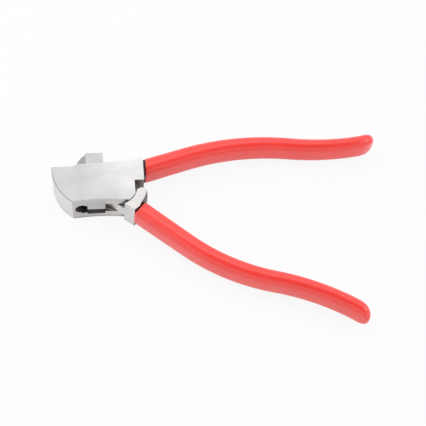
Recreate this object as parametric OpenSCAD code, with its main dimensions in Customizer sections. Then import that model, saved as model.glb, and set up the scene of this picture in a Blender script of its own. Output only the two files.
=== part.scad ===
// Hand-held key cutting pliers.
// A steel head carries a die, and a lever inside it pulls a sliding punch down through a key blade.
// Frame: origin on the back face under the pivot pin, +X towards the handles,
// +Y towards the side where the punch stands out, +Z through the head's thickness.

/* [Head] */
// Thickness of the head from back face to front face
head_thick = 18.4; // [17:0.1:20]
// Radius of the curved nose
nose_radius = 27.3; // [24:0.1:30]
// Distance from the pivot to the nose's foremost edge
nose_reach = 34.4; // [31:0.1:38]
// Height of the key seat above the pivot
seat_y = 13.4; // [12:0.1:14]
// Slope of the head's far edge where it rises to the rear corner, in degrees
crest_slope = 15.4; // [10:0.1:18]
// Distance from the pivot to the head's rear edge
rear_x = 17.1; // [16:0.1:19]
// Depth of the head's lower edge below the pivot, at its ends
belly_y = 9.9; // [9.5:0.1:10.2]
// Rise of the lower edge's hollow curve
belly_rise = 1.15; // [0.4:0.05:2]
// Radius of the head's corner that the lever's shoe sweeps around
corner_radius = 12.85; // [12.5:0.05:12.9]
// Height of the notch that takes the shoe's end when the handles close
notch_y = 3.1; // [2.8:0.1:4]
// Where the notch begins, behind the pivot
notch_x = 11.65; // [11:0.05:12.5]
// Chamfer along the nose on the front face
nose_chamfer = 0.5; // [0.2:0.1:1]
// Chamfer along the nose on the back face
nose_back_chamfer = 0.7; // [0.4:0.1:2]
// How far the nose leans in from the front face to the back face
nose_lean = 0.5; // [0:0.1:1.2]

/* [Lever slot] */
// Width of the slot between the head's two cheeks
slot_width = 7.8; // [7:0.1:9]
// Height of the slot's ceiling above the pivot
slot_ceiling = 9.0; // [8:0.1:9.4]

/* [Punch slide] */
// Length of the slide's section along the head
slide_length = 9.9; // [9.4:0.1:10.2]
// Width of the slide's section through the head
slide_width = 11.7; // [11:0.1:12]
// Distance from the pivot to the slide's centre line
slide_x = 10.1; // [10:0.1:10.4]
// Height of the slide's top at rest
slide_top = 24.4; // [23:0.1:26]
// Depth of the slide's foot below the pivot at rest
slide_foot = 8.6; // [8:0.1:8.8]
// Running clearance between the slide and its window
slide_gap = 0.05; // [0.02:0.01:0.1]

/* [Punch and die] */
// Radius of the punch's rounded back
punch_radius = 7.0; // [6.5:0.1:7.5]
// Width of the V-shaped punch
punch_width = 7.8; // [6:0.1:8.6]
// How far the punch's edge stands out from the slide
punch_reach = 4.8; // [3.6:0.1:5]
// Gap for the key blade between punch and die at rest
key_gap = 2.5; // [2:0.1:2.6]
// Clearance between punch and die
shear_gap = 0.1; // [0.05:0.01:0.15]
// Diameter of the hole that the chips fall out of
chip_hole = 7.2; // [6:0.1:7.8]

/* [Handles] */
// How far the lever turns when the handles are squeezed, in degrees
swing = 16; // [12:0.5:16]
// Diameter of the pivot pin
pivot_diameter = 8.0; // [7:0.1:8.2]
// Inner radius of the lever's shoe
shoe_inner = 13.05; // [13.05:0.05:13.3]
// Outer radius of the lever's shoe at its middle plane
shoe_outer = 19.2; // [18.8:0.1:19.6]
// How much smaller that radius is at the shoe's two faces
shoe_draft = 0.7; // [0.3:0.1:1]
// Thickness of the lever's shoe
shoe_thick = 17.4; // [15:0.1:17.8]
// Width of each handle bar inside its grip
bar_width = 5.4; // [4.6:0.1:5.8]
// Thickness of each handle bar
bar_thick = 10.0; // [8.5:0.1:10.5]
// Width of each grip at its mouth, seen from the front
grip_width = 10.3; // [9.8:0.1:11]
// Width of each grip at its far end
grip_end_width = 8.1; // [7.8:0.1:9]
// Thickness of each grip
grip_thick = 15.0; // [14:0.1:16]
// Corner radius of each grip's section
grip_corner = 4.2; // [3:0.1:5]

/* [Hidden] */
$fn = 72;

mid = head_thick / 2;
fit_gap = 0.01;
press_gap = 0.02;
cut = 1;

// The slide travels between two equal angles of the lever's arm, either side of level.
half_swing = swing / 2;
drive_rise = slide_x * tan(half_swing);
stroke = 2 * drive_rise;

// Head outline landmarks.
nose_centre = [nose_radius - nose_reach, 11.7];
nose_arc_above = 10;
nose_arc_below = 70;
blank_x = -nose_reach - 2;
nose_blank = 12;
chin_x = -23.8;
ledge_x = -22.85;
ramp_x = -19.8;
ramp_y = 14.9;
rise_x = 0;
rise_y = 15.65;
top_corner = 1.5;
rise_slope = atan2(rise_y - ramp_y, rise_x - ramp_x);
crest_x = rear_x - top_corner * (1 + sin(crest_slope));
crest_y = rise_y + (crest_x - rise_x) * tan((rise_slope + crest_slope) / 2);
rise_radius = norm([crest_x - rise_x, crest_y - rise_y])
    / (2 * sin((crest_slope - rise_slope) / 2));
corner_x = sqrt(pow(corner_radius, 2) - pow(belly_y, 2));
belly_radius = (pow((corner_x - chin_x) / 2, 2) + pow(belly_rise, 2)) / (2 * belly_rise);
belly_centre = [(chin_x + corner_x) / 2, belly_rise - belly_y - belly_radius];

// Slide window and the punch on the slide.
window_length = slide_length + 2 * slide_gap;
window_width = slide_width + 2 * slide_gap;
slide_left = -slide_x - slide_length / 2;
slide_right = -slide_x + slide_length / 2;
window_left = slide_left - slide_gap;
window_right = slide_right + slide_gap;
pocket_width = 8.0;
pocket_low = -5.0;
pocket_high = 7.2;
pocket_wall = 1.2;
rebate_z = 7.4;
rebate_high = -4.4;
punch_tip_x = slide_left - punch_reach;
crown_back = 0.9;
punch_low = ramp_y + key_gap + 0.15;
shank_end = slide_right - 3.2;

// Die.
die_left = -26;
die_floor = 8.3;
die_width = 10.4;
die_height = 9;
die_hex_depth = 1.2;
die_screw_x = -23.6;
die_screw_y = 10.6;
chip_x = -18.4;
chip_neck = 3.8;
chip_neck_z = 6.7;
throat_low = -4;
throat_width = 8.0;

// Screws and pins.
m3 = 1.5;
m4 = 2.0;
drive_radius = 2.0;
drive_gap = 0.05;
pivot_radius = pivot_diameter / 2;
pivot_skin = 2.2;
bush_outer = 4.9;
hub_radius = 6.5;
tongue_thick = 6.8;
washer_thick = 0.4;
washer_radius = 6.0;
run_gap = 0.05;
slide_face = mid - slide_width / 2;
set_screw_z = (mid - slot_width / 2) / 2;
stop_y = 12.5;
dog_radius = 1.2;
dog_end = slide_face + 1.5;
dog_slot_end = dog_end + 0.4;
screw_end = slide_face - 0.3;
plug_radius = 2.6;
blade_screw_x = -12.0;
blade_screw_head = 2.7;
blade_screw_sink = 2.6;
blade_screw_low = pocket_high + 3.4;
blade_hex_across = 2.5;
tang_pin_radius = 1.5;
tang_pin_x = [7.6, 13.2];
hex_across = 2.0;
hex_depth = 1.8;
screw_inset = 0.2;
small_hex_across = 1.5;
small_hex_depth = 1.5;
end_play = 0.1;
screw_end_play = 0.6;

// Lever arm.
arm_end = 13.0;
arm_half = 4.25;
fork_root = slide_x - 0.25;

// Return spring.
spring_x = 9.0;
spring_radius = 1.95;
spring_wire = 0.35;
spring_seat = -1.9;
spring_turns = 5.5;
spring_bore = 2.6;
guide_radius = 1.1;
guide_length = 4.0;

// Handle runs from each grip's mouth: [length, turn in degrees].
tang_y = 12.9;
tang_start = 4.0;
tang_half = 2.2;
fixed_grip_start = [16.0, 13.9, 17.0, 0];
fixed_run = [[27.7, 0], [62.4, -24.8], [51.5, 20.8]];
moving_grip_start = [13.0, -12.2, -41.8, 0];
moving_run = [[35.1, 0], [53.0, 26.8], [55.6, -22.9]];
handle_angle = -41.3;
shoe_end_angle = -18;
shoe_left_angle = -66;
shoe_heel_angle = -56.5;
shoe_root = 1;
tongue_start = hub_radius - 0.3;
tongue_low_angle = shoe_left_angle - acos(hub_radius / shoe_inner);
tongue_heel_angle = shoe_left_angle + 1.5;
shoe_tip = 3.25;
shoe_rim = 4.5;
flare_from = -33;
flare_to = -47;
flare_low = shoe_outer - shoe_draft - 0.3;
flare_high = shoe_outer + 0.1;
tip_trim = 10;
heel_overshoot = 1.2;
mouth_gap = 0.9;
shoe_mouth_gap = 0.3;
bar_short = 13;
shoulder_half = 3.8;
shoulder_thick = 12.0;
shoulder_length = 6;
bar_root = 10;
shoe_lap = 2;

// Rounded far end of each grip. The side facing away from the other handle rounds off over
// end_outer, the side facing it over end_inner, and the two faces over end_face.
end_outer = 2.2;
end_inner = 11.1;
end_face = 7.0;
end_tip = 2.1;
end_angles = [15, 30, 45, 53, 58, 64, 70, 75, 80, 84, 87];
corner_steps = 5;

// ---- Outlines ----

function arc_points(centre, radius, from, to, steps) =
    [for (i = [0:steps]) let (a = from + (to - from) * i / steps)
        centre + radius * [cos(a), sin(a)]];

function angle_at(centre, point) = atan2(point[1] - centre[1], point[0] - centre[0]);

belly_from = angle_at(belly_centre, [chin_x, -belly_y]);
belly_to = angle_at(belly_centre, [corner_x, -belly_y]);
corner_from = -asin(belly_y / corner_radius);
corner_to = -acos(notch_x / corner_radius);

head_outline = concat(
    [[blank_x, seat_y], [blank_x, -belly_y]],
    arc_points(belly_centre, belly_radius, belly_from, belly_to, 8),
    arc_points([0, 0], corner_radius, corner_from, corner_to, 6),
    [[notch_x, notch_y], [rear_x, notch_y]],
    arc_points([rear_x - top_corner, crest_y - top_corner * cos(crest_slope)], top_corner,
        0, 90 + crest_slope, 6),
    arc_points([rise_x, rise_y] + rise_radius * [-sin(rise_slope), cos(rise_slope)],
        rise_radius, crest_slope - 90, rise_slope - 90, 6),
    [[ramp_x, ramp_y], [ledge_x, seat_y]]);

// A run of straight and curved lengths. Each point is [x, y, heading, distance].
function chord(len, turn) =
    abs(turn) < 0.01 ? len : len * sin(turn / 2) * 360 / (PI * turn);
function advance(p, len, turn) =
    [p[0] + chord(len, turn) * cos(p[2] + turn / 2),
        p[1] + chord(len, turn) * sin(p[2] + turn / 2), p[2] + turn, p[3] + len];
function trace(p, run, i = 0) =
    i == len(run) ? [p] : concat([p], trace(advance(p, run[i][0], run[i][1]), run, i + 1));
function finer(run) =
    [for (s = run) let (n = max(1, ceil(abs(s[1]) / 3))) for (k = [1:n]) [s[0] / n, s[1] / n]];
function shorten(run, by) =
    [for (i = [0:len(run) - 1])
        i < len(run) - 1 ? run[i] : [run[i][0] - by, run[i][1] * (run[i][0] - by) / run[i][0]]];

function left_of(p, off) = [p[0] - off * sin(p[2]), p[1] + off * cos(p[2])];
function edge(points, off) = [for (p = points) left_of(p, off)];
function back(points) = [for (i = [len(points) - 1:-1:0]) points[i]];

// Centre points of a bar from a distance past the grip's mouth to short of its end.
function bar_core(start, run, from, grow) =
    let (cut_run = concat([[run[0][0] - from, 0]], [for (i = [1:len(run) - 1]) run[i]]))
    trace(advance(start, from, 0), finer(shorten(cut_run, bar_short - grow)));

// ---- Shared shapes ----

module through(z_low, z_high) {
    translate([0, 0, z_low])
        linear_extrude(height = z_high - z_low)
            children();
}

module centred_slab(thickness) {
    through(mid - thickness / 2, mid + thickness / 2)
        children();
}

module along_y(x, z, y_low, y_high, radius) {
    translate([x, y_low, z])
        rotate([-90, 0, 0])
            cylinder(r = radius, h = y_high - y_low);
}

module peg(x, y, z_low, z_high, radius) {
    translate([x, y, z_low])
        cylinder(r = radius, h = z_high - z_low);
}

// Hexagon socket sunk upwards from z_face.
module hex_socket(x, y, z_face, depth) {
    translate([x, y, z_face - cut])
        cylinder(r = hex_across / sqrt(3), h = depth + cut, $fn = 6);
}

// Hexagon socket sunk downwards along Y from y_face.
module hex_socket_y(x, z, y_face, depth, across) {
    translate([x, y_face - depth, z])
        rotate([-90, 0, 0])
            cylinder(r = across / sqrt(3), h = depth + cut, $fn = 6);
}

// ---- Head ----

// Slab of the head's outline, turned down to the nose's leaning wall and chamfers.
module head_blank() {
    difference() {
        through(0, head_thick)
            polygon(head_outline);
        translate([nose_centre[0], nose_centre[1], 0])
            rotate([0, 0, 180 - nose_arc_above])
                rotate_extrude(angle = nose_arc_above + nose_arc_below)
                    nose_cut_profile();
    }
}

module nose_cut_profile() {
    outside = nose_radius + nose_blank;
    foot = nose_radius - nose_lean;
    polygon([[nose_radius - nose_chamfer - cut, head_thick + cut],
        [nose_radius, head_thick - nose_chamfer], [foot, nose_back_chamfer],
        [foot - nose_back_chamfer - cut, -cut], [outside, -cut], [outside, head_thick + cut]]);
}

module slide_window() {
    translate([window_left, -belly_y - cut, mid - window_width / 2])
        cube([window_length, belly_y + crest_y + 2 * cut, window_width]);
}

module lever_slot() {
    translate([window_right - cut, -belly_y - cut, mid - slot_width / 2])
        cube([notch_x - window_right + cut, belly_y + cut + slot_ceiling, slot_width]);
}

module die_block(grow) {
    translate([die_left - grow, die_floor - grow, mid - die_width / 2 - grow])
        cube([window_left - die_left + grow + cut, die_height, die_width + 2 * grow]);
}

module tang_socket() {
    centred_slab(bar_thick + 2 * fit_gap)
        translate([tang_start - fit_gap, tang_y - tang_half - fit_gap])
            square([rear_x - tang_start + cut, 2 * (tang_half + fit_gap)]);
}

module head_body() {
    color([0.86, 0.86, 0.85])
        difference() {
            head_blank();
            slide_window();
            lever_slot();
            die_block(fit_gap);
            tang_socket();
            along_y(chip_x, mid, -belly_y - cut, die_floor + cut, chip_hole / 2);
            translate([chip_x, -belly_y - cut, chip_neck_z - chip_neck / 2])
                cube([window_left - chip_x + cut, die_floor + belly_y + cut, chip_neck]);
            translate([chip_x, throat_low, mid - throat_width / 2])
                cube([window_left - chip_x + cut, die_floor - throat_low, throat_width]);
            peg(0, 0, -cut, head_thick - pivot_skin, pivot_radius + fit_gap);
            along_y(0, set_screw_z, 0, crest_y, m3 + fit_gap);
            peg(-slide_x, stop_y, -cut, slide_face, m4 + fit_gap);
            peg(-slide_x, drive_rise, -cut, slide_face, plug_radius + fit_gap);
            die_screw_hole();
            for (x = tang_pin_x)
                peg(x, tang_y, -cut, head_thick - pivot_skin, tang_pin_radius + fit_gap);
            along_y(spring_x, mid, slot_ceiling - cut, tang_y - tang_half, guide_radius + fit_gap);
        }
}

module die_screw_hole() {
    peg(die_screw_x, die_screw_y, -cut, mid, m3 + fit_gap);
    translate([die_screw_x, die_screw_y, -fit_gap])
        cylinder(r1 = 2 * m3 + fit_gap, r2 = m3, h = m3 + fit_gap);
}

module die_insert() {
    color([0.45, 0.45, 0.47])
        difference() {
            intersection() {
                die_block(0);
                through(0, head_thick)
                    polygon(head_outline);
                translate([die_left - cut, 0, 0])
                    cube([window_left - die_left + cut, slide_top, head_thick]);
            }
            translate([0, die_floor - cut, 0])
                punch_prism(shear_gap, die_height);
            die_screw_hole();
        }
}

// V-shaped prism along Y that the punch fills and the die leaves open.
module punch_prism(grow, height) {
    flank = atan2(punch_width / 2, punch_reach);
    half = punch_width / 2 + grow / cos(flank);
    rotate([-90, 0, 0])
        linear_extrude(height = height)
            polygon([[punch_tip_x - grow / sin(flank), -mid], [slide_left, -mid - half],
                [shank_end + cut, -mid - half], [shank_end + cut, half - mid],
                [slide_left, half - mid]]);
}

module die_screw() {
    color([0.25, 0.25, 0.27])
        difference() {
            union() {
                peg(die_screw_x, die_screw_y, run_gap, mid - screw_end_play, m3);
                translate([die_screw_x, die_screw_y, run_gap])
                    cylinder(r1 = 2 * m3 - run_gap - fit_gap, r2 = m3, h = m3 - run_gap);
            }
            hex_socket(die_screw_x, die_screw_y, 0, die_hex_depth);
        }
}

module pivot_pin() {
    color([0.62, 0.62, 0.64])
        peg(0, 0, 0, head_thick - pivot_skin - end_play, pivot_radius);
}

module pivot_set_screw() {
    color([0.25, 0.25, 0.27])
        difference() {
            along_y(0, set_screw_z, pivot_radius + run_gap, slot_ceiling, m3);
            hex_socket_y(0, set_screw_z, slot_ceiling, small_hex_depth, small_hex_across);
        }
}

module stop_screw() {
    color([0.25, 0.25, 0.27])
        difference() {
            union() {
                peg(-slide_x, stop_y, screw_inset, screw_end, m4);
                peg(-slide_x, stop_y, screw_end, dog_end, dog_radius);
            }
            hex_socket(-slide_x, stop_y, screw_inset, hex_depth);
        }
}

module access_plug() {
    color([0.25, 0.25, 0.27])
        difference() {
            peg(-slide_x, drive_rise, screw_inset, screw_end, plug_radius);
            hex_socket(-slide_x, drive_rise, screw_inset, hex_depth);
        }
}

// Outline of the bar: a narrow tongue inside the head, then the full width inside the grip.
module fixed_bar_outline(grow) {
    tongue = [[tang_start - grow, tang_y, 0, 0], [rear_x + mouth_gap / 2, tang_y, 0, 0]];
    core = bar_core(fixed_grip_start, fixed_run, bar_root, grow);
    polygon(concat(edge(tongue, tang_half + grow), edge(core, bar_width / 2 + grow),
        back(edge(core, -bar_width / 2 - grow)), back(edge(tongue, -tang_half - grow))));
}

// Shoulder of the bar, from the head's rear face to just inside the grip.
module bar_shoulder(grow) {
    ends = [for (d = [0, shoulder_length + grow]) advance(fixed_grip_start, d, 0)];
    difference() {
        centred_slab(shoulder_thick + 2 * grow)
            polygon(concat(edge(ends, shoulder_half + grow), back(edge(ends, -shoulder_half - grow))));
        translate([0, 0, -cut])
            cube([rear_x + run_gap, 2 * crest_y, head_thick + 2 * cut]);
    }
}

module fixed_handle_bar() {
    color([0.55, 0.55, 0.57])
        difference() {
            union() {
                centred_slab(bar_thick)
                    fixed_bar_outline(0);
                bar_shoulder(0);
            }
            for (x = tang_pin_x)
                peg(x, tang_y, 0, head_thick, tang_pin_radius + fit_gap);
        }
}

module tang_pins() {
    color([0.55, 0.55, 0.57])
        for (x = tang_pin_x)
            peg(x, tang_y, press_gap, head_thick - pivot_skin - end_play, tang_pin_radius);
}

module spring_guide() {
    color([0.5, 0.5, 0.52])
        along_y(spring_x, mid, slot_ceiling - guide_length, tang_y - tang_half - end_play,
            guide_radius);
}

// Coil swept as rings of points; its axis is parallel to Y.
module return_spring() {
    sides = 8;
    per_turn = 20;
    rings = round(spring_turns * per_turn);
    low = spring_seat + spring_wire + press_gap;
    high = slot_ceiling - spring_wire - press_gap;
    points = [for (i = [0:rings]) for (k = [0:sides - 1])
        let (a = 360 * i / per_turn, b = 360 * k / sides,
            r = spring_radius + spring_wire * cos(b),
            y = low + (high - low) * i / rings + spring_wire * sin(b))
        [spring_x + r * cos(a), y, mid + r * sin(a)]];
    walls = [for (i = [0:rings - 1]) for (k = [0:sides - 1])
        let (n = (k + 1) % sides)
        [i * sides + k, (i + 1) * sides + k, (i + 1) * sides + n, i * sides + n]];
    first_cap = [[for (k = [0:sides - 1]) k]];
    last_cap = [[for (k = [sides - 1:-1:0]) rings * sides + k]];
    color([0.7, 0.7, 0.72])
        polyhedron(points = points, faces = concat(walls, first_cap, last_cap));
}

// ---- Slide ----

module cutter_slide() {
    color([0.78, 0.78, 0.78])
        difference() {
            translate([slide_left, -slide_foot, mid - slide_width / 2])
                cube([slide_length, slide_top + slide_foot, slide_width]);
            translate([slide_left + pocket_wall, pocket_low, mid - pocket_width / 2])
                cube([slide_length, pocket_high - pocket_low, pocket_width]);
            translate([slide_left - cut, -slide_foot - cut, 0])
                cube([slide_length + 2 * cut, rebate_high + slide_foot + cut, rebate_z]);
            peg(-slide_x, drive_rise, 0, head_thick, drive_radius + fit_gap);
            translate([slide_left - cut, punch_low - fit_gap, mid - punch_width / 2 - fit_gap])
                cube([shank_end - slide_left + cut + fit_gap, slide_top, punch_width + 2 * fit_gap]);
            along_y(blade_screw_x, mid, blade_screw_low - screw_inset, punch_low, m3 + fit_gap);
            translate([-slide_x - dog_radius - run_gap, stop_y - dog_radius - run_gap, 0])
                cube([2 * (dog_radius + run_gap), stroke + 2 * (dog_radius + run_gap), dog_slot_end]);
        }
}

module cutter_blade() {
    crown = [slide_left + crown_back, slide_top - punch_radius + 0.2];
    back_angle = 90 + asin(crown_back / punch_radius);
    low_angle = 180 - asin((punch_low - crown[1]) / punch_radius);
    color([0.38, 0.38, 0.4])
        difference() {
            intersection() {
                centred_slab(punch_width)
                    polygon(concat(arc_points(crown, punch_radius, back_angle, low_angle, 10),
                        [[shank_end, punch_low], [shank_end, slide_top]]));
                translate([0, punch_low - cut, 0])
                    punch_prism(0, slide_top - punch_low + 2 * cut);
            }
            along_y(blade_screw_x, mid, punch_low - cut, slide_top + cut, m3 + fit_gap);
            along_y(blade_screw_x, mid, slide_top - blade_screw_sink, slide_top + cut,
                blade_screw_head + fit_gap);
        }
}

module blade_screw() {
    color([0.25, 0.25, 0.27])
        difference() {
            union() {
                along_y(blade_screw_x, mid, blade_screw_low, slide_top - end_play, m3);
                along_y(blade_screw_x, mid, slide_top - blade_screw_sink + fit_gap,
                    slide_top - end_play, blade_screw_head);
            }
            hex_socket_y(blade_screw_x, mid, slide_top - end_play, small_hex_depth, blade_hex_across);
        }
}

module drive_pin() {
    color([0.62, 0.62, 0.64])
        peg(-slide_x, drive_rise, slide_face + end_play, mid + slide_width / 2 - end_play,
            drive_radius);
}

// ---- Lever ----

module tongue_outline() {
    circle(r = hub_radius);
    rotate(180 - half_swing)
        difference() {
            translate([0, -arm_half])
                square([arm_end, 2 * arm_half]);
            translate([fork_root, 0])
                circle(r = drive_radius + drive_gap);
            translate([fork_root, -drive_radius - drive_gap])
                square([arm_end, 2 * (drive_radius + drive_gap)]);
        }
    tongue_end = shoe_inner + shoe_root;
    upper_end = tongue_end * [cos(handle_angle), sin(handle_angle)]
        + hub_radius * [-sin(handle_angle), cos(handle_angle)];
    polygon([
        tongue_start * [cos(tongue_low_angle), sin(tongue_low_angle)],
        tongue_end * [cos(tongue_heel_angle), sin(tongue_heel_angle)],
        upper_end,
        tongue_start * [-sin(handle_angle), cos(handle_angle)]]);
}

// Sector around the pivot with a rounded tip. It overshoots, and the turned blank trims it.
module shoe_outline() {
    tip_centre = (shoe_inner + shoe_tip) * [cos(shoe_end_angle), sin(shoe_end_angle)];
    inner_heel = shoe_inner * [cos(shoe_left_angle), sin(shoe_left_angle)];
    outer_heel = shoe_outer * [cos(shoe_heel_angle), sin(shoe_heel_angle)];
    polygon(concat(
        arc_points([0, 0], shoe_inner, shoe_left_angle, shoe_end_angle, 16),
        arc_points(tip_centre, shoe_tip, shoe_end_angle + 180 - tip_trim,
            shoe_end_angle + tip_trim, 10),
        arc_points([0, 0], shoe_outer + cut, shoe_end_angle, shoe_heel_angle, 6),
        [inner_heel + heel_overshoot * (outer_heel - inner_heel)]));
}

module shoe() {
    low = mid - shoe_thick / 2;
    high = mid + shoe_thick / 2;
    intersection() {
        centred_slab(shoe_thick + 2 * cut)
            shoe_outline();
        union() {
            rotate_extrude()
                polygon([[0, low], [shoe_outer - shoe_draft, low], [shoe_outer, low + shoe_rim],
                    [shoe_outer, high - shoe_rim], [shoe_outer - shoe_draft, high], [0, high]]);
            centred_slab(shoe_thick)
                flare_outline();
        }
    }
}

// Beside the handle the shoe swells outwards over its whole thickness.
module flare_outline() {
    polygon(concat([[0, 0]], arc_points([0, 0], flare_high, 2 * shoe_left_angle - flare_to,
            flare_to, 10),
        [for (i = [5:-1:0]) let (share = i / 6, a = flare_from + (flare_to - flare_from) * share)
            (flare_low + (flare_high - flare_low) * (1 - cos(180 * share)) / 2) * [cos(a), sin(a)]]));
}

module lever() {
    color([0.8, 0.8, 0.8])
        difference() {
            union() {
                centred_slab(tongue_thick)
                    tongue_outline();
                shoe();
                centred_slab(bar_thick)
                    moving_bar_outline(0);
            }
            peg(0, 0, 0, head_thick, bush_outer + press_gap);
            along_y(spring_x, mid, spring_seat, slot_ceiling, spring_bore);
        }
}

module moving_bar_outline(grow) {
    core = bar_core(moving_grip_start, moving_run, -shoe_lap, grow);
    polygon(concat(edge(core, bar_width / 2 + grow), back(edge(core, -bar_width / 2 - grow))));
}

module hub_bush() {
    color([0.72, 0.56, 0.3])
        difference() {
            peg(0, 0, mid - tongue_thick / 2, mid + tongue_thick / 2, bush_outer);
            peg(0, 0, 0, head_thick, pivot_radius + run_gap);
        }
}

module thrust_washers() {
    color([0.72, 0.56, 0.3])
        for (z = [mid - slot_width / 2 + run_gap, mid + slot_width / 2 - run_gap - washer_thick])
            difference() {
                peg(0, 0, z, z + washer_thick, washer_radius);
                peg(0, 0, 0, head_thick, pivot_radius + run_gap);
            }
}

// ---- Grips ----

// One ring of the rounded section around point p, from its right edge to its left edge.
function section_ring(p, left, right, half_t) =
    let (half_w = (left - right) / 2, middle = (left + right) / 2,
        r = min(grip_corner, half_w, half_t))
    [for (c = [0:3]) for (k = [0:corner_steps])
        let (a = 90 * (c + k / corner_steps),
            side = middle + (c == 0 || c == 3 ? 1 : -1) * (half_w - r) + r * cos(a),
            up = (c < 2 ? 1 : -1) * (half_t - r) + r * sin(a),
            q = left_of(p, side))
        [q[0], q[1], mid + up]];

function run_length(run, i = 0) = i == len(run) ? 0 : run[i][0] + run_length(run, i + 1);

// Share of an edge's reach that is left where it rounds off over the last stretch.
function closing(distance, total, stretch) =
    sqrt(max(0, 1 - pow(max(0, distance - total + stretch) / stretch, 2)));

// Ring at point p of a grip. side is 1 where the grip's left edge faces away from the other grip.
function grip_ring(p, total, side) =
    let (half = (grip_width + (grip_end_width - grip_width) * p[3] / total) / 2,
        outer = end_tip + (half - end_tip) * closing(p[3], total, end_outer),
        inner = end_tip - (half + end_tip) * closing(p[3], total, end_inner),
        half_t = grip_thick / 2 * closing(p[3], total, end_face))
    side > 0 ? section_ring(p, outer, inner, half_t) : section_ring(p, -inner, -outer, half_t);

function grip_rings(start, run, side) =
    let (total = run_length(run), last = run[len(run) - 1],
        body = trace(start, finer(shorten(run, end_inner))),
        tail = body[len(body) - 1],
        tail_turn = last[1] * end_inner / last[0])
    concat([for (p = body) grip_ring(p, total, side)],
        [for (b = end_angles)
            grip_ring(advance(tail, end_inner * sin(b), tail_turn * sin(b)), total, side)]);

// Closed skin over rings that all have the same number of points.
module skin(rings) {
    n = len(rings[0]);
    last = len(rings) - 1;
    points = [for (ring = rings) for (p = ring) p];
    walls = [for (i = [0:last - 1]) for (k = [0:n - 1])
        let (m = (k + 1) % n)
        each [[i * n + k, (i + 1) * n + k, (i + 1) * n + m], [i * n + k, (i + 1) * n + m, i * n + m]]];
    caps = [[for (k = [0:n - 1]) k], [for (k = [n - 1:-1:0]) last * n + k]];
    polyhedron(points = points, faces = concat(walls, caps));
}

// The mouth is cut parallel to the head's rear edge.
module fixed_grip() {
    color([0.85, 0.13, 0.12])
        difference() {
            skin(grip_rings(fixed_grip_start, fixed_run, 1));
            centred_slab(bar_thick + 2 * fit_gap)
                fixed_bar_outline(fit_gap);
            bar_shoulder(fit_gap);
            translate([0, 0, -cut])
                cube([rear_x + mouth_gap, 2 * crest_y, head_thick + 2 * cut]);
        }
}

// The mouth follows the shoe's outer curve.
module moving_grip() {
    color([0.85, 0.13, 0.12])
        difference() {
            skin(grip_rings(moving_grip_start, moving_run, -1));
            centred_slab(bar_thick + 2 * fit_gap)
                moving_bar_outline(fit_gap);
            peg(0, 0, -cut, head_thick + cut, shoe_outer + shoe_mouth_gap);
        }
}

head_body();
die_insert();
die_screw();
pivot_pin();
pivot_set_screw();
stop_screw();
access_plug();
fixed_handle_bar();
tang_pins();
fixed_grip();
spring_guide();
return_spring();
cutter_slide();
cutter_blade();
blade_screw();
drive_pin();
lever();
hub_bush();
thrust_washers();
moving_grip();
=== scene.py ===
"""Looks of the key cutting pliers: ground steel head, forged lever and red dipped grips.

Sizes and places are in mm unless a comment says otherwise, in the CAD model's own frame, and
become metres where Blender takes them. The pivot stands at x = 0, y = 0.
"""

import math

import bmesh
import bpy
from mathutils import Matrix, Quaternion, Vector


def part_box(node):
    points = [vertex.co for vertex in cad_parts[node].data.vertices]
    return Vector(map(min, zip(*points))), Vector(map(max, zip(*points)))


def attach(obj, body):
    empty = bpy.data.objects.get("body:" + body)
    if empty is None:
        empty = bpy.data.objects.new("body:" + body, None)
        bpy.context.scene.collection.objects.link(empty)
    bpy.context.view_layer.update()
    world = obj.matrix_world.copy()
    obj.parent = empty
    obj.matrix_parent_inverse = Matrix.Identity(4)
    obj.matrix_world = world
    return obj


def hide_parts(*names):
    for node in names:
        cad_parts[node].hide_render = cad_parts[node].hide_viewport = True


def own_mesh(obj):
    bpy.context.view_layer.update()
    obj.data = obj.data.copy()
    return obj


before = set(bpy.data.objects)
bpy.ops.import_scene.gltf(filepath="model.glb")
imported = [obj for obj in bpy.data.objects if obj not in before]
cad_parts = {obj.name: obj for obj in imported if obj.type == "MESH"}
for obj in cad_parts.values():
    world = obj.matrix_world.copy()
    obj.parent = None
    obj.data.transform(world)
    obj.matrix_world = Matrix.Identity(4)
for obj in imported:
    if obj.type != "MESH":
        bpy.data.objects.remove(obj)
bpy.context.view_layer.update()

MM = 0.001


def box_mm(node):
    """Lowest and highest corner of a CAD node, in mm."""
    return [Vector(round(value / MM, 2) for value in corner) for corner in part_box(node)]


HEAD_LOW, HEAD_HIGH = box_mm("head_body")
SLIDE_LOW, SLIDE_HIGH = box_mm("cutter_slide")
MID_Z = round((HEAD_LOW.z + HEAD_HIGH.z) / 2, 2)  # the head's middle plane


# ---------------------------------------------------------------- camera

VIEW_POINT = Vector((55.1, -14.8, 8.8)) * MM
CAMERA_PLACE = Vector((-28.7, -372.0, 596.0)) * MM
CAMERA_ROLL = math.radians(9.13)
CLIP_START = 10 * MM
SENSOR_MM = 36.0
LENS_MM = 103.7


def add_camera():
    """The camera, at the place from which the pliers are seen and turned about its own axis."""
    data = bpy.data.cameras.new("view")
    data.sensor_fit = "HORIZONTAL"
    data.sensor_width = SENSOR_MM
    data.lens = LENS_MM
    data.clip_start = CLIP_START
    camera = bpy.data.objects.new("view", data)
    bpy.context.scene.collection.objects.link(camera)
    looking = (VIEW_POINT - CAMERA_PLACE).to_track_quat("-Z", "Y")
    rolled = looking @ Quaternion((0, 0, 1), CAMERA_ROLL)
    camera.matrix_world = Matrix.Translation(CAMERA_PLACE) @ rolled.to_matrix().to_4x4()
    bpy.context.scene.camera = camera


# ---------------------------------------------------------------- making a material

# The colour sockets of a Mix node: its two inputs and its result.
MIX_DARK, MIX_LIGHT, MIX_RESULT = 6, 7, 2
# Where most of a noise's values lie.
NOISE_SPAN = (0.3, 0.7)
# Share of open sky at which a point counts as deep in a corner, and as in the open.
CREVICE_RANGE = (0.15, 0.7)
CREVICE_RAYS = 6


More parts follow.
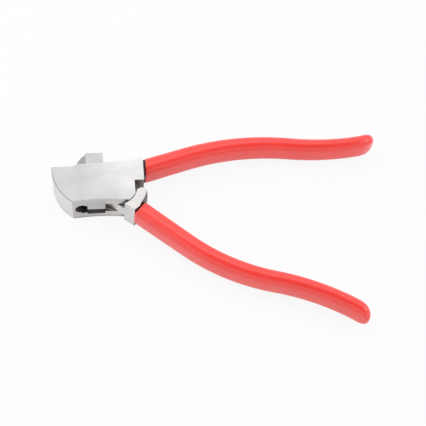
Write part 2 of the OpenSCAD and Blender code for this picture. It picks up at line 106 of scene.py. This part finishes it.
class Recipe:
    """A node material being put together."""

    def __init__(self, name):
        self.material = bpy.data.materials.new(name)
        self.material.use_nodes = True
        self.nodes = self.material.node_tree.nodes
        self.links = self.material.node_tree.links
        self.shader = self.nodes["Principled BSDF"]
        self.place = self.add("ShaderNodeTexCoord").outputs["Object"]

    def add(self, kind, **settings):
        """A new node with its settings."""
        node = self.nodes.new(kind)
        for key, value in settings.items():
            setattr(node, key, value)
        return node

    def plain(self, **sockets):
        """Values that are the same all over the surface. A name's _ stands for a space."""
        for key, value in sockets.items():
            self.shader.inputs[key.replace("_", " ")].default_value = value

    def noise(self, scale, stretch=(1, 1, 1), detail=3.0, roughness=0.55):
        """Noise over the frame's own coordinates. scale counts bumps a metre."""
        mapping = self.add("ShaderNodeMapping")
        mapping.inputs["Scale"].default_value = stretch
        self.links.new(self.place, mapping.inputs["Vector"])
        noise = self.add("ShaderNodeTexNoise")
        noise.inputs["Scale"].default_value = scale
        noise.inputs["Detail"].default_value = detail
        noise.inputs["Roughness"].default_value = roughness
        self.links.new(mapping.outputs["Vector"], noise.inputs["Vector"])
        return noise.outputs["Fac"]

    def spread(self, value, low, high, to_low=0.0, to_high=1.0):
        """A value's range from low to high, stretched over another range and kept inside it."""
        node = self.add("ShaderNodeMapRange", clamp=True)
        node.inputs["From Min"].default_value = low
        node.inputs["From Max"].default_value = high
        node.inputs["To Min"].default_value = to_low
        node.inputs["To Max"].default_value = to_high
        self.links.new(value, node.inputs["Value"])
        return node.outputs["Result"]

    def blend(self, factor, dark, light):
        """From the dark colour where factor is 0 to the light one where it is 1."""
        node = self.add("ShaderNodeMix", data_type="RGBA")
        for index, colour in ((MIX_DARK, dark), (MIX_LIGHT, light)):
            socket = node.inputs[index]
            if isinstance(colour, bpy.types.NodeSocket):
                self.links.new(colour, socket)
            else:
                socket.default_value = (*colour, 1)
        self.links.new(factor, node.inputs["Factor"])
        return node.outputs[MIX_RESULT]

    def multiply_add(self, value, factor, added):
        """value times factor, plus added. value and added are sockets."""
        node = self.add("ShaderNodeMath", operation="MULTIPLY_ADD")
        self.links.new(value, node.inputs[0])
        node.inputs[1].default_value = factor
        self.links.new(added, node.inputs[2])
        return node.outputs[0]

    def crevice(self, reach):
        """How open a point is, from 0 deep in a corner to 1 in the open. reach is in mm."""
        node = self.add("ShaderNodeAmbientOcclusion", samples=CREVICE_RAYS)
        node.inputs["Distance"].default_value = reach * MM
        return self.spread(node.outputs["AO"], *CREVICE_RANGE)

    def distance(self, place):
        """How far a point is from a place in mm. The result is in metres."""
        node = self.add("ShaderNodeVectorMath", operation="DISTANCE")
        self.links.new(self.place, node.inputs[0])
        node.inputs[1].default_value = Vector(place) * MM
        return node.outputs["Value"]

    def scaled(self, colour, share):
        """A colour made darker, to a share of itself."""
        node = self.add("ShaderNodeVectorMath", operation="SCALE")
        self.links.new(colour, node.inputs[0])
        node.inputs["Scale"].default_value = share
        return node.outputs["Vector"]

    def colour(self, socket):
        """Gives the surface its colour."""
        self.links.new(socket, self.shader.inputs["Base Color"])

    def roughness(self, value, smooth, rough, span=NOISE_SPAN):
        """Roughness from smooth to rough, as a noise goes over its span."""
        self.links.new(self.spread(value, *span, smooth, rough), self.shader.inputs["Roughness"])

    def bump(self, height, strength, depth):
        """Relief that follows a height. depth is in mm."""
        node = self.add("ShaderNodeBump")
        node.inputs["Strength"].default_value = strength
        node.inputs["Distance"].default_value = depth * MM
        self.links.new(height, node.inputs["Height"])
        self.links.new(node.outputs["Normal"], self.shader.inputs["Normal"])


# ---------------------------------------------------------------- kinds of material

# Painted shade: the colour that steel turns to deep in its corners, and that the red vinyl turns to
# in its own.
STEEL_CORNER_SHADE = (0.035, 0.03, 0.028)
SHADED_RED = (0.07, 0.004, 0.003)
# Where the tones of ground steel turn from dark to light, over its lines and clouds.
TONE_SPAN = (0.3, 0.95)


def ground_steel(name, light, dark, rough=(0.26, 0.42), grain=(1, 22, 22), marks=0.25,
        reach=5.0, bright_spot=None):
    """Satin ground steel. Its grain runs along the axis with the smallest grain number.

    marks is the weight of the grinding lines in the tone, and reach is how far painted shade
    spreads from a corner, in mm. bright_spot is a place, an inner and an outer radius in
    mm, and the share of the tone that is left outside them: a painted pool of light round it.
    """
    recipe = Recipe(name)
    recipe.plain(Metallic=1.0)
    lines = recipe.noise(90, grain, detail=6.0, roughness=0.7)
    cloud = recipe.noise(70, detail=2.0)
    tone = recipe.spread(recipe.multiply_add(lines, marks, cloud), *TONE_SPAN)
    colour = recipe.blend(tone, dark, light)
    # Painted pool of light: the tone stays full near the place and is painted darker further out.
    if bright_spot:
        place, near, far, share = bright_spot
        dimmed = recipe.spread(recipe.distance(place), near * MM, far * MM)
        colour = recipe.blend(dimmed, colour, recipe.scaled(colour, share))
    # Painted shade: the colour darkens in corners and hollows, over reach mm.
    recipe.colour(recipe.blend(recipe.crevice(reach), STEEL_CORNER_SHADE, colour))
    recipe.roughness(lines, *rough)
    recipe.bump(lines, strength=0.12, depth=0.06)
    return recipe.material


def shadowed_steel(name):
    """Inner walls with a rough mill finish, painted dark as the shade in the head's hollows."""
    recipe = Recipe(name)
    recipe.plain(Metallic=0.75)
    mill = recipe.noise(500, (1, 1, 0.2), detail=4.0)
    cloud = recipe.noise(160, detail=3.0)
    recipe.colour(recipe.blend(cloud, dark=(0.15, 0.132, 0.126), light=(0.36, 0.335, 0.325)))
    recipe.roughness(mill, 0.38, 0.62)
    recipe.bump(mill, strength=0.25, depth=0.08)
    return recipe.material


def tool_steel(name):
    """Hardened steel with straw-grey temper and fine grinding."""
    recipe = Recipe(name)
    recipe.plain(Metallic=1.0)
    grind = recipe.noise(140, (16, 1, 16), detail=5.0)
    cloud = recipe.noise(120, detail=2.0)
    recipe.colour(recipe.blend(cloud, dark=(0.28, 0.28, 0.285), light=(0.47, 0.47, 0.475)))
    recipe.roughness(grind, 0.22, 0.4)
    recipe.bump(grind, strength=0.1, depth=0.04)
    return recipe.material


def black_oxide(name):
    """Blackened screws with a fine speckle."""
    recipe = Recipe(name)
    recipe.plain(Metallic=0.85)
    speck = recipe.noise(900, detail=4.0)
    recipe.colour(recipe.blend(speck, dark=(0.02, 0.02, 0.024), light=(0.07, 0.07, 0.078)))
    recipe.roughness(speck, 0.35, 0.55)
    recipe.bump(speck, strength=0.1, depth=0.04)
    return recipe.material


def bronze(name):
    """Sintered bronze, a fine open grain wet with oil."""
    recipe = Recipe(name)
    recipe.plain(Metallic=1.0)
    grain = recipe.noise(2600, detail=3.0)
    recipe.colour(recipe.blend(grain, dark=(0.32, 0.19, 0.08), light=(0.66, 0.45, 0.22)))
    recipe.roughness(grain, 0.25, 0.5)
    recipe.bump(grain, strength=0.15, depth=0.04)
    return recipe.material


def drawn_wire(name):
    """Spring wire with faint drawing marks."""
    recipe = Recipe(name)
    recipe.plain(Metallic=1.0)
    draw = recipe.noise(1400, (1, 4, 1), detail=3.0)
    recipe.colour(recipe.blend(draw, dark=(0.42, 0.42, 0.44), light=(0.68, 0.68, 0.7)))
    recipe.roughness(draw, 0.2, 0.34)
    recipe.bump(draw, strength=0.08, depth=0.03)
    return recipe.material


def dipped_vinyl(name):
    """Soft red vinyl: glossy, a little see-through, with the slow ripple of a dipped coat."""
    recipe = Recipe(name)
    recipe.plain(Subsurface_Weight=0.12, Subsurface_Scale=1.5 * MM,
        Subsurface_Radius=(1.0, 0.25, 0.15), Coat_Weight=0.6, Coat_Roughness=0.12, IOR=1.52)
    ripple = recipe.noise(55, detail=1.0)
    peel = recipe.noise(420, detail=2.0)
    cloud = recipe.noise(35, detail=2.0)
    colour = recipe.blend(recipe.spread(cloud, *NOISE_SPAN),
        dark=(0.88, 0.037, 0.028), light=(0.95, 0.05, 0.039))
    # Painted shade: the red turns dark in corners and at the grips' mouths.
    recipe.colour(recipe.blend(recipe.crevice(reach=6.0), SHADED_RED, colour))
    recipe.roughness(peel, 0.26, 0.36, span=(0.25, 0.75))
    recipe.bump(recipe.multiply_add(peel, 0.12, ripple), strength=0.1, depth=0.6)
    return recipe.material


# ---------------------------------------------------------------- the materials

# Painted pool of light: the head's front face is lightest round this place and painted darker
# between these two radii.
FRONT_LIGHT_POOL = ((9, 11, 9), 12, 29, 0.75)

# The head: its faces, nose, nose chamfers, notch and the back wall of its slot.
bright = ground_steel("ground_steel", light=(0.78, 0.769, 0.757), dark=(0.6, 0.59, 0.58),
    marks=0.6, bright_spot=FRONT_LIGHT_POOL)
nose_steel = ground_steel("nose_steel", light=(0.8, 0.79, 0.78), dark=(0.7, 0.69, 0.68),
    grain=(7, 7, 2))
# Painted shade: the nose chamfers are painted darker, as the dark line they show where they turn
# from the light.
chamfer_shade = ground_steel("edge_steel", light=(0.5, 0.49, 0.48), dark=(0.36, 0.35, 0.34),
    rough=(0.3, 0.45), grain=(9, 9, 9))
# Painted shade: the notch's ceiling and side are painted dark, as the shade of the shoe over them.
notch_shade = ground_steel("notch_shade_steel", light=(0.49, 0.446, 0.439), dark=(0.35, 0.317, 0.311),
    rough=(0.4, 0.55), grain=(8, 8, 2), reach=6.0)
back_wall = ground_steel("slot_wall_steel", light=(0.8, 0.755, 0.735), dark=(0.6, 0.565, 0.55),
    rough=(0.38, 0.52), grain=(2, 12, 12), reach=1.0)
inner = shadowed_steel("inner_walls")

# The lever, and the side of its shoe, which is painted dark as shade.
forged = ground_steel("lever_steel", light=(0.77, 0.757, 0.745), dark=(0.65, 0.637, 0.625),
    rough=(0.3, 0.46), grain=(6, 6, 1), marks=0.2, reach=1.6)
shoe_side_shade = ground_steel("shoe_side_steel", light=(0.19, 0.171, 0.166),
    dark=(0.12, 0.107, 0.104), rough=(0.38, 0.52), grain=(8, 8, 2), reach=1.6)

# The other metal parts.
slide_steel = ground_steel("slide_steel", light=(0.59, 0.588, 0.583), dark=(0.47, 0.468, 0.464),
    rough=(0.3, 0.45), grain=(22, 1, 22))
# Painted shade: the handle bar is painted near black, as the shade in the gap at the upper grip's
# mouth.
bar_steel = ground_steel("bar_steel", light=(0.12, 0.115, 0.115), dark=(0.06, 0.058, 0.058),
    rough=(0.4, 0.55))
pin_steel = ground_steel("pin_steel", light=(0.62, 0.62, 0.63), dark=(0.46, 0.46, 0.47),
    rough=(0.2, 0.35), grain=(9, 9, 1))
hard = tool_steel("punch_steel")
oxide = black_oxide("black_screws")
bush = bronze("oiled_bronze")
wire = drawn_wire("spring_wire")

vinyl = dipped_vinyl("red_vinyl")


# ---------------------------------------------------------------- pieces from CAD nodes

WELD_MM = 0.002  # corners of a CAD mesh nearer than this are one
FLAT_ANGLE = math.radians(0.5)  # faces that turn less than this are joined
SHARP_ANGLE = math.radians(30)  # edges that turn more than this are rounded
EDGE_SEGMENTS = 2


def to_object(name, mesh):
    """An object of the scene that shows a mesh."""
    piece = bpy.data.objects.new(name, mesh)
    bpy.context.scene.collection.objects.link(piece)
    return piece


def softened(node, body, slot, material, width):
    """A copy of a CAD node whose sharp edges are rounded by width mm. It stands for the node."""
    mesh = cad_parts[node].data.copy()
    build = bmesh.new()
    build.from_mesh(mesh)
    bmesh.ops.remove_doubles(build, verts=build.verts, dist=WELD_MM * MM)
    bmesh.ops.dissolve_limit(build, angle_limit=FLAT_ANGLE, verts=build.verts,
        edges=build.edges)
    build.to_mesh(mesh)
    build.free()
    piece = to_object("part_" + node, mesh)
    bevel = piece.modifiers.new("edges", "BEVEL")
    bevel.width = width * MM
    bevel.segments = EDGE_SEGMENTS
    bevel.limit_method = "ANGLE"
    bevel.angle_limit = SHARP_ANGLE
    bevel.harden_normals = True
    bevel.use_clamp_overlap = True
    mesh.materials.clear()
    mesh.materials.append(material)
    for face in mesh.polygons:
        face.use_smooth = True
        face.material_index = 0
    mesh.set_sharp_from_angle(angle=SHARP_ANGLE)
    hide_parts(node)
    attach(piece, body)
    return piece


def refinish(piece, material, chosen):
    """Gives another material to the faces that a test of centre, in mm, and normal picks out."""
    piece.data.materials.append(material)
    index = len(piece.data.materials) - 1
    for face in piece.data.polygons:
        if chosen(face.center / MM, face.normal):
            face.material_index = index


# ---------------------------------------------------------------- faces of the head and lever

FACING = 0.5  # a face looks along an axis when its normal has more than this of it
NEAR_PLANE = 0.1  # how far from a plane, in mm, a face still lies in it

# The head's outer faces.
REAR_X = HEAD_HIGH.x - NEAR_PLANE
BELLY_TOP = -8.5  # the belly lies lower than this
CREST_LOW = 14.5  # the crest lies higher than this
FACE_DEPTH = 1.0  # the front and back faces lie within this of the head's box
NOSE_X = -22.0  # the nose lies to the left of this
NOSE_FACING = 0.3
CHAMFER_FACING = 0.1
CHAMFER_TILT = (0.2, 0.97)  # share of z in its normal, from an upright wall to a flat face

# The notch under the rear corner: its ceiling and its side.
NOTCH_Y = 3.1
NOTCH_SIDE = 11.65

# The slide's window is wider than the slide by a gap all round.
SLIDE_GAP = 0.1
WINDOW_LEFT = round(SLIDE_LOW.x - SLIDE_GAP, 2)
WINDOW_RIGHT = round(SLIDE_HIGH.x + SLIDE_GAP, 2)
WINDOW_HALF = round((SLIDE_HIGH.z - SLIDE_LOW.z) / 2 + SLIDE_GAP, 2)
# The lever's slot, from the window to the notch, the chip hole, and the throat between the
# chip hole and the window. A half is a half width, from the head's middle plane.
SLOT_HALF = 3.95
SLOT_CEILING = 9.05
SLOT_REAR = NOTCH_SIDE + NEAR_PLANE
THROAT_HALF = 4.05
CHIP_X = -18.4
CHIP_RADIUS = 3.65
CHIP_TOP = 12.0

# The shoe lies outside this radius round the pivot.
SHOE_RADIUS = 18.0
SHOE_FACING = 0.3


def on_head_outside(place, normal):
    """Belly, crest, rear, front face and back face."""
    on_belly = normal.y < -FACING and place.y < BELLY_TOP
    on_crest = normal.y > FACING and place.y > CREST_LOW
    on_rear = normal.x > FACING and place.x > REAR_X
    depth = min(place.z - HEAD_LOW.z, HEAD_HIGH.z - place.z)
    on_face = abs(normal.z) > FACING and depth <= FACE_DEPTH
    return on_belly or on_crest or on_rear or on_face


def bounds_head_hollow(place, normal):
    """Walls of the slide's window, the lever's slot, the chip hole and the throat."""
    if on_head_outside(place, normal):
        return False
    across = abs(place.z - MID_Z)
    in_slot = WINDOW_RIGHT < place.x < SLOT_REAR and place.y < SLOT_CEILING and across < SLOT_HALF
    in_window = WINDOW_LEFT <= place.x <= WINDOW_RIGHT and across < WINDOW_HALF
    in_throat = CHIP_X <= place.x <= WINDOW_LEFT and place.y < SLOT_CEILING and across < THROAT_HALF
    in_chute = math.hypot(place.x - CHIP_X, across) < CHIP_RADIUS and place.y < CHIP_TOP
    return in_slot or in_window or in_throat or in_chute


def on_slot_back(place, normal):
    """Back walls of the slot and the window, which face the front."""
    past_throat = place.x > WINDOW_LEFT
    faces_front = normal.z > FACING and place.z < MID_Z
    return past_throat and faces_front and bounds_head_hollow(place, normal)


def on_nose(place, normal):
    """The curved nose, between its chamfers."""
    upright = abs(normal.z) < CHAMFER_TILT[0]
    return place.x < NOSE_X and normal.x < -NOSE_FACING and upright


def on_nose_chamfer(place, normal):
    """The chamfers along the nose."""
    tilted = CHAMFER_TILT[0] < abs(normal.z) < CHAMFER_TILT[1]
    return place.x < NOSE_X and normal.x < -CHAMFER_FACING and tilted


def in_notch(place, normal):
    """Ceiling and side of the notch."""
    ceiling = normal.y < -FACING and abs(place.y - NOTCH_Y) < NEAR_PLANE
    side = normal.x > FACING and abs(place.x - NOTCH_SIDE) < NEAR_PLANE
    return place.x > NOTCH_SIDE - NEAR_PLANE and (ceiling or side)


def on_shoe_side(place, normal):
    """Side of the shoe that faces the grip."""
    upright = abs(normal.z) < FACING
    return math.hypot(place.x, place.y) > SHOE_RADIUS and upright and normal.x > SHOE_FACING


# The smaller metal parts: node, body, slot, material and the width of their rounded edges in mm.
SMALL_PARTS = (
    ("cutter_slide", "slide", "bright_steel", slide_steel, 0.25),
    ("cutter_blade", "slide", "tool_steel", hard, 0.12),
    ("die_insert", "head", "tool_steel", hard, 0.06),
    ("fixed_handle_bar", "head", "bar_steel", bar_steel, 0.4),
    ("pivot_pin", "head", "pin_steel", pin_steel, 0.2),
    ("tang_pins", "head", "pin_steel", pin_steel, 0.2),
    ("spring_guide", "head", "pin_steel", pin_steel, 0.2),
    ("drive_pin", "slide", "pin_steel", pin_steel, 0.2),
    ("die_screw", "head", "black_screws", oxide, 0.1),
    ("pivot_set_screw", "head", "black_screws", oxide, 0.1),
    ("stop_screw", "head", "black_screws", oxide, 0.1),
    ("access_plug", "head", "black_screws", oxide, 0.1),
    ("blade_screw", "slide", "black_screws", oxide, 0.15),
    ("hub_bush", "lever", "bronze", bush, 0.1),
    ("thrust_washers", "lever", "bronze", bush, 0.08),
)
BODY_EDGE = 0.2  # width of the rounded edges of the head and the lever


def add_steel():
    """The metal parts. Each later test on the head repaints what an earlier one picked out."""
    head = softened("head_body", "head", "bright_steel", bright, BODY_EDGE)
    refinish(head, nose_steel, on_nose)
    refinish(head, chamfer_shade, on_nose_chamfer)
    refinish(head, notch_shade, in_notch)
    # Painted shade: the walls of the head's hollows are painted dark.
    refinish(head, inner, bounds_head_hollow)
    refinish(head, back_wall, on_slot_back)
    lever = softened("lever", "lever", "bright_steel", forged, BODY_EDGE)
    # Painted shade: the side of the shoe that faces the grip is painted dark.
    refinish(lever, shoe_side_shade, on_shoe_side)
    for part in SMALL_PARTS:
        softened(*part)


# ---------------------------------------------------------------- lofted pieces

LOFT_WELD_MM = 0.001


def loft(name, rings, material):
    """A closed smooth tube through rings of points in mm."""
    build = bmesh.new()
    loops = [[build.verts.new(point * MM) for point in ring] for ring in rings]
    count = len(loops[0])
    for first, second in zip(loops, loops[1:]):
        for i in range(count):
            j = (i + 1) % count
            build.faces.new((first[i], second[i], second[j], first[j]))
    build.faces.new(loops[0])
    build.faces.new(reversed(loops[-1]))
    bmesh.ops.remove_doubles(build, verts=build.verts, dist=LOFT_WELD_MM * MM)
    bmesh.ops.recalc_face_normals(build, faces=build.faces)
    mesh = bpy.data.meshes.new(name)
    build.to_mesh(mesh)
    build.free()
    mesh.materials.append(material)
    for face in mesh.polygons:
        face.use_smooth = True
    return to_object(name, mesh)


# ---------------------------------------------------------------- grips

# Section of a grip: a rounded rectangle that gets narrower towards the far end.
GRIP_WIDTH = 10.3
GRIP_END_WIDTH = 8.1
GRIP_THICK = 15.0
GRIP_CORNER = 4.2
CORNER_STEPS = 7

# Middle line of each grip: where it starts, as x, y and heading in degrees, and its stretches,
# each a length in mm and the degrees that it turns through.
UPPER_START = (16.0, 13.9, 17.0)
UPPER_RUN = ((27.7, 0), (62.4, -24.8), (51.5, 20.8))
LOWER_START = (13.0, -12.2, -41.8)
LOWER_RUN = ((35.1, 0), (53.0, 26.8), (55.6, -22.9))
RING_STEP = 1.5  # mm between rings

OUTER_LEFT, OUTER_RIGHT = 1, -1  # on which side of its run a grip's outer side is

# The upper mouth stands a gap behind the head's rear face, and the lower one follows the shoe,
# round the pivot.
MOUTH_GAP = 1.35
UPPER_MOUTH_X = round(HEAD_HIGH.x + MOUTH_GAP, 2)
LOWER_MOUTH_RADIUS = 19.5
# Rings at the mouth: mm behind it, mm drawn in, share of the way to a ring square to the run.
LIP = ((0.0, 0.6, 0), (0.08, 0.3, 0), (0.25, 0.1, 0), (0.6, 0, 0), (0.6, 0, 0.33), (0.6, 0, 0.67))
LIP_END = 2.2  # mm behind the mouth's deepest point

# Rounded far end: its outer side closes over END_OUTER mm, its inner side over END_INNER,
# its two faces over END_FACE, and all of them meet END_TIP mm to the outer side.
END_OUTER = 2.2
END_INNER = 11.1
END_FACE = 7.0
END_TIP = 2.1
END_ANGLES = range(0, 89, 4)  # places of its rings, in degrees along an arc


def walk(start, run):
    """Points along a run of straight and curved lengths, as x, y, heading and distance."""
    x, y, heading = start
    travelled = 0.0
    points = [(x, y, heading, travelled)]
    for length, turn in run:
        count = max(1, round(length / RING_STEP))
        for _ in range(count):
            middle = math.radians(heading + turn / count / 2)
            x += length / count * math.cos(middle)
            y += length / count * math.sin(middle)
            heading += turn / count
            travelled += length / count
            points.append((x, y, heading, travelled))
    return points


def closing(distance, total, stretch):
    """Share of an edge's reach that is left where it rounds off over the last stretch."""
    return math.sqrt(max(0.0, 1 - max(0.0, (distance - total + stretch) / stretch) ** 2))


def section(point, total, side, drawn=0.0):
    """One ring of the rounded section, across the run at a point, drawn in by some mm."""
    x, y, heading, travelled = point
    half = (GRIP_WIDTH + (GRIP_END_WIDTH - GRIP_WIDTH) * travelled / total) / 2 - drawn
    outer = END_TIP + (half - END_TIP) * closing(travelled, total, END_OUTER)
    inner_side = END_TIP - (half + END_TIP) * closing(travelled, total, END_INNER)
    left, right = (outer, inner_side) if side == OUTER_LEFT else (-inner_side, -outer)
    half_width, middle = (left - right) / 2, (left + right) / 2
    half_thick = (GRIP_THICK / 2 - drawn) * closing(travelled, total, END_FACE)
    radius = min(GRIP_CORNER, half_width, half_thick)
    side_x, side_y = -math.sin(math.radians(heading)), math.cos(math.radians(heading))
    ring = []
    for corner, (across, up) in enumerate(((1, 1), (-1, 1), (-1, -1), (1, -1))):
        for step in range(CORNER_STEPS + 1):
            angle = math.radians(90 * (corner + step / CORNER_STEPS))
            off = middle + across * (half_width - radius) + radius * math.cos(angle)
            rise = up * (half_thick - radius) + radius * math.sin(angle)
            ring.append(Vector((x + off * side_x, y + off * side_y, MID_Z + rise)))
    return ring


def along(points, distance):
    """The point of a walk at a distance from its start."""
    for first, second in zip(points, points[1:]):
        if second[3] >= distance:
            share = (distance - first[3]) / (second[3] - first[3])
            return tuple(a + (b - a) * share for a, b in zip(first, second))
    return points[-1]


def to_upper_mouth(point, forward):
    """Distance from a point to the upper mouth's plane."""
    return (UPPER_MOUTH_X - point.x) / forward.x


def to_lower_mouth(point, forward):
    """Distance from a point to the lower mouth's cylinder round the pivot."""
    reach = point.x * forward.x + point.y * forward.y
    gap = LOWER_MOUTH_RADIUS ** 2 - point.x ** 2 - point.y ** 2
    return math.sqrt(reach * reach + gap) - reach


def grip_rings(start, run, side, to_mouth):
    """Rings from the mouth to the far end. The first ones follow the mouth's surface."""
    points = walk(start, run)
    total = points[-1][3]
    heading = math.radians(start[2])
    forward = Vector((math.cos(heading), math.sin(heading), 0))
    mouth = [to_mouth(point, forward) for point in section(points[0], total, side)]
    square = max(mouth) + LIP_END
    rings = []
    for behind, drawn, share in LIP:
        depths = [at + behind + share * (square - at - behind) for at in mouth]
        rings.append([section(along(points, depth), total, side, drawn)[k]
            for k, depth in enumerate(depths)])
    stops = [square + k * RING_STEP for k in range(int((total - END_INNER - square) / RING_STEP))]
    stops += [total - END_INNER * (1 - math.sin(math.radians(a))) for a in END_ANGLES]
    rings += [section(along(points, stop), total, side) for stop in stops]
    return rings


def add_grip(name, node, body, start, run, side, to_mouth):
    """A dipped sleeve that stands for a CAD grip and rides on its body."""
    piece = loft(name, grip_rings(start, run, side, to_mouth), vinyl)
    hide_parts(node)
    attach(piece, body)


# ---------------------------------------------------------------- return spring

# The coil stands along y. Its radius is to the wire's middle.
SPRING_X = 9.0
SPRING_RADIUS = 1.95
SPRING_WIRE = 0.35  # the wire's own radius
SPRING_LOW = -1.9
SPRING_HIGH = 9.0
SPRING_TURNS = 5.5
SPRING_SIDES = 10
SPRING_PER_TURN = 32


def spring_ring(share, around):
    """The wire's ring at a share of the coil's height and an angle round its axis."""
    low, high = SPRING_LOW + SPRING_WIRE, SPRING_HIGH - SPRING_WIRE
    ring = []
    for k in range(SPRING_SIDES):
        over = 2 * math.pi * k / SPRING_SIDES
        radius = SPRING_RADIUS + SPRING_WIRE * math.cos(over)
        y = low + (high - low) * share + SPRING_WIRE * math.sin(over)
        place = (SPRING_X + radius * math.cos(around), y, MID_Z + radius * math.sin(around))
        ring.append(Vector(place))
    return ring


def add_spring():
    """The coil of the return spring, a fixed shape on the head. On the real tool it shortens
    towards its upper end as the lever closes.
    """
    count = round(SPRING_TURNS * SPRING_PER_TURN)
    rings = [spring_ring(i / count, 2 * math.pi * i / SPRING_PER_TURN) for i in range(count + 1)]
    piece = loft("coil", rings, wire)
    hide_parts("return_spring")
    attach(piece, "head")
    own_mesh(piece)


# ---------------------------------------------------------------- floor and light

FLOOR_SIZE = 3.0  # in metres, from its middle to its edges
FLOOR_TONE = 0.82
FLOOR_ROUGHNESS = 0.9
FLOOR_DROP = 0.05 * MM  # how far the floor is under the tool
WHITE_SHARE = 0.9  # how much of the floor the camera sees as plain white
MIRROR_SHARE = 0.8  # the same for what glossy surfaces mirror


def white_to_camera(tree, output, lit):
    """Mixes a lit shader with plain white for camera and mirror rays."""
    path = tree.nodes.new("ShaderNodeLightPath")
    white = tree.nodes.new("ShaderNodeEmission")
    shares = []
    for ray, share in (("Is Camera Ray", WHITE_SHARE), ("Is Glossy Ray", MIRROR_SHARE)):
        seen = tree.nodes.new("ShaderNodeMath")
        seen.operation = "MULTIPLY"
        seen.inputs[1].default_value = share
        tree.links.new(path.outputs[ray], seen.inputs[0])
        shares.append(seen.outputs[0])
    total = tree.nodes.new("ShaderNodeMath")
    tree.links.new(shares[0], total.inputs[0])
    tree.links.new(shares[1], total.inputs[1])
    mix = tree.nodes.new("ShaderNodeMixShader")
    tree.links.new(total.outputs[0], mix.inputs[0])
    tree.links.new(lit, mix.inputs[1])
    tree.links.new(white.outputs[0], mix.inputs[2])
    tree.links.new(mix.outputs[0], output)


def add_floor():
    """A pale floor that takes the tool's shadow."""
    build = bmesh.new()
    bmesh.ops.create_grid(build, x_segments=1, y_segments=1, size=FLOOR_SIZE)
    mesh = bpy.data.meshes.new("floor")
    build.to_mesh(mesh)
    build.free()
    material = bpy.data.materials.new("floor")
    material.use_nodes = True
    tree = material.node_tree
    shader = tree.nodes["Principled BSDF"]
    shader.inputs["Base Color"].default_value = (FLOOR_TONE, FLOOR_TONE, FLOOR_TONE, 1)
    shader.inputs["Roughness"].default_value = FLOOR_ROUGHNESS
    white_to_camera(tree, tree.nodes["Material Output"].inputs["Surface"], shader.outputs[0])
    mesh.materials.append(material)
    floor = to_object("floor", mesh)
    floor.location.z = -FLOOR_DROP


STUDIO = 1.0  # strength of the even white studio
# Its patches: direction, cosines at the rim and at full strength, and the strength they add.
DARK_PATCH = ((0.0, -0.35, 0.93), 0.76, 0.9, -0.8)
SOFT_BOX = ((0.1, 0.33, 0.93), 0.96, 0.99, 0.63)


def add_world():
    """An even white studio with a dark patch over the camera's side and a soft box behind it."""
    world = bpy.data.worlds.new("studio")
    world.use_nodes = True
    bpy.context.scene.world = world
    tree = world.node_tree
    nodes, links = tree.nodes, tree.links
    place = nodes.new("ShaderNodeTexCoord").outputs["Generated"]
    total = None
    for direction, rim, full, strength in (DARK_PATCH, SOFT_BOX):
        gap = nodes.new("ShaderNodeVectorMath")
        gap.operation = "DOT_PRODUCT"
        gap.inputs[1].default_value = Vector(direction).normalized()
        links.new(place, gap.inputs[0])
        tone = nodes.new("ShaderNodeMapRange")
        tone.interpolation_type = "SMOOTHSTEP"
        tone.inputs["From Min"].default_value = rim
        tone.inputs["From Max"].default_value = full
        tone.inputs["To Max"].default_value = strength
        links.new(gap.outputs["Value"], tone.inputs["Value"])
        add = nodes.new("ShaderNodeMath")
        if total:
            links.new(total, add.inputs[0])
        else:
            add.inputs[0].default_value = STUDIO
        links.new(tone.outputs["Result"], add.inputs[1])
        total = add.outputs[0]
    path = nodes.new("ShaderNodeLightPath")
    plain_white = nodes.new("ShaderNodeMix")
    plain_white.inputs["B"].default_value = 1.0
    links.new(path.outputs["Is Camera Ray"], plain_white.inputs["Factor"])
    links.new(total, plain_white.inputs["A"])
    background = nodes["Background"]
    background.inputs["Color"].default_value = (1, 1, 1, 1)
    links.new(plain_white.outputs["Result"], background.inputs["Strength"])


# Lamps, aimed at the middle of the view: name, place and size in metres, power in watts.
LAMPS = (
    ("key", (-0.55, 0.35, 0.75), (0.7, 0.5), 3.0),
    ("fill", (0.75, -0.1, 0.7), (0.6, 0.6), 2.0),
)


def add_lamp(name, place, size, power):
    """A rectangular lamp."""
    data = bpy.data.lights.new(name, "AREA")
    data.shape = "RECTANGLE"
    data.size, data.size_y = size
    data.energy = power
    lamp = bpy.data.objects.new(name, data)
    bpy.context.scene.collection.objects.link(lamp)
    aim = (VIEW_POINT - Vector(place)).to_track_quat("-Z", "Y")
    lamp.matrix_world = Matrix.Translation(place) @ aim.to_matrix().to_4x4()


# ---------------------------------------------------------------- the scene

add_camera()
add_steel()
add_grip("upper_grip", "fixed_grip", "head", UPPER_START, UPPER_RUN, OUTER_LEFT, to_upper_mouth)
add_grip("lower_grip", "moving_grip", "lever", LOWER_START, LOWER_RUN, OUTER_RIGHT, to_lower_mouth)
add_spring()
add_floor()
add_world()
for lamp_values in LAMPS:
    add_lamp(*lamp_values)

bpy.context.scene.view_settings.view_transform = "Standard"
